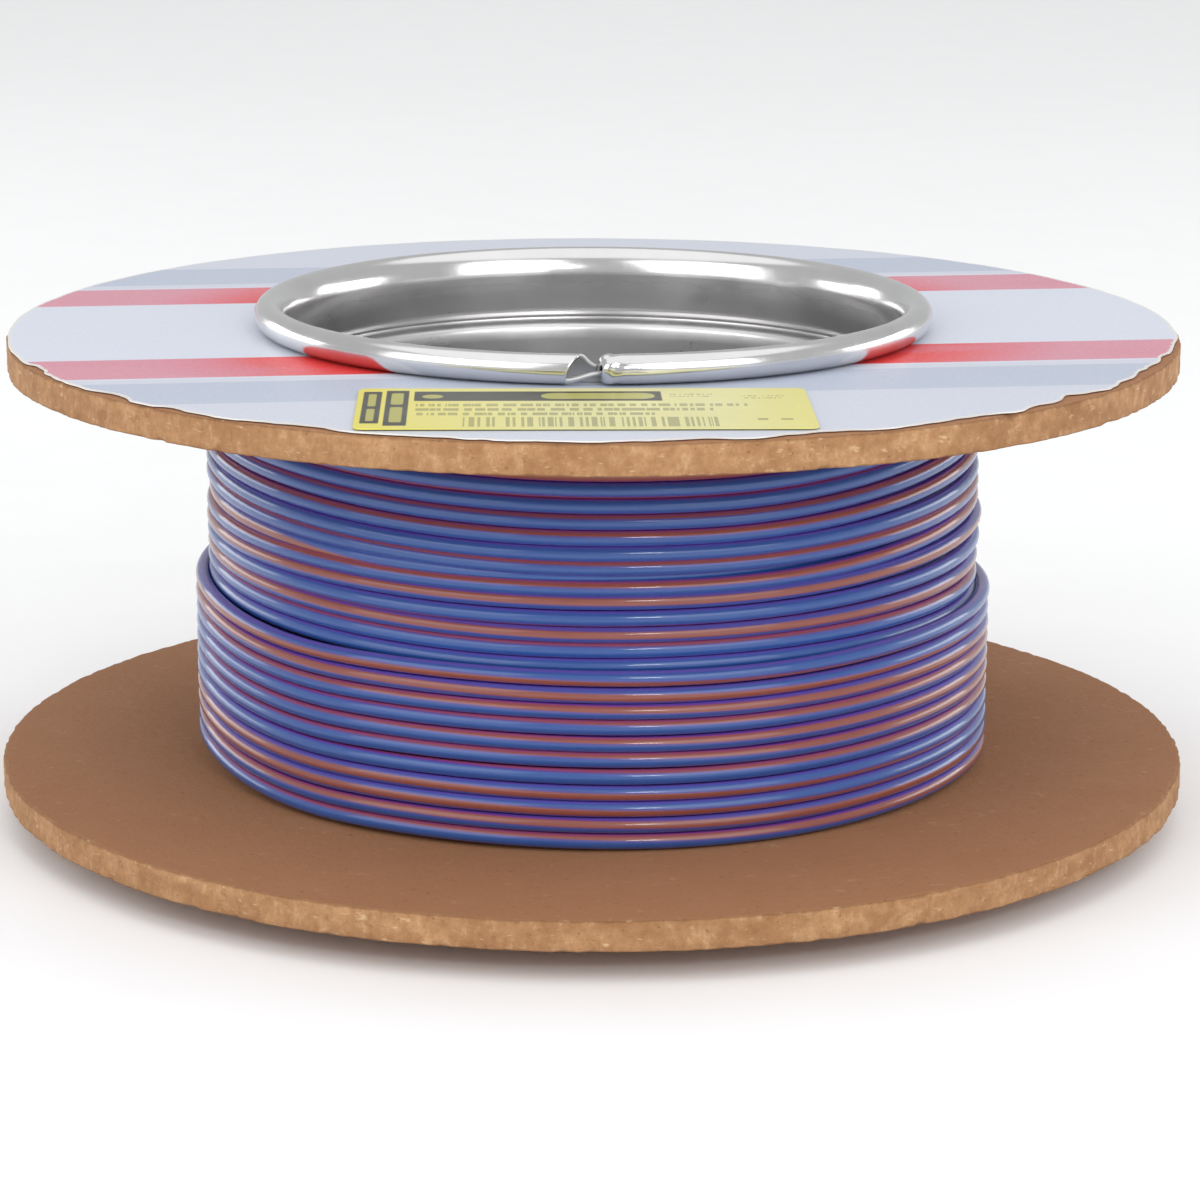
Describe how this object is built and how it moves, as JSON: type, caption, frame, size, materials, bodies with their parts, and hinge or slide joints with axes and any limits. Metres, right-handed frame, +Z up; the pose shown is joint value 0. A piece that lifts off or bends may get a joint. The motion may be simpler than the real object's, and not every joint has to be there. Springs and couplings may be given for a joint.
{
  "type": "spool of electrical wire",
  "caption": "Insulated electrical wire wound on a spool of two fibreboard discs and a curled sheet steel tube, standing on its end.",
  "frame": {"origin": "on the floor, under the middle of the spool as it stands on its lower curl", "axes": "+Z up along the spool's axis, -Y towards the label on the upper disc, +X to the right of someone who faces the label"},
  "size_m": [0.303, 0.303, 0.1306],
  "materials": {
    "steel": "bright rolled sheet",
    "fibreboard": "raw fibreboard with sawn edges",
    "printed_paper": "printed satin paper with torn edges",
    "label": "satin self-adhesive label",
    "insulation": "extruded plastic insulation with a stripe"
  },
  "bodies": {
    "root": {"hub_tube": "steel", "bottom_flange": "fibreboard", "top_flange": "fibreboard", "flange_paper": "printed_paper", "paper_label": "label", "wire_coil": "insulation"}
  },
  "joints": []
}
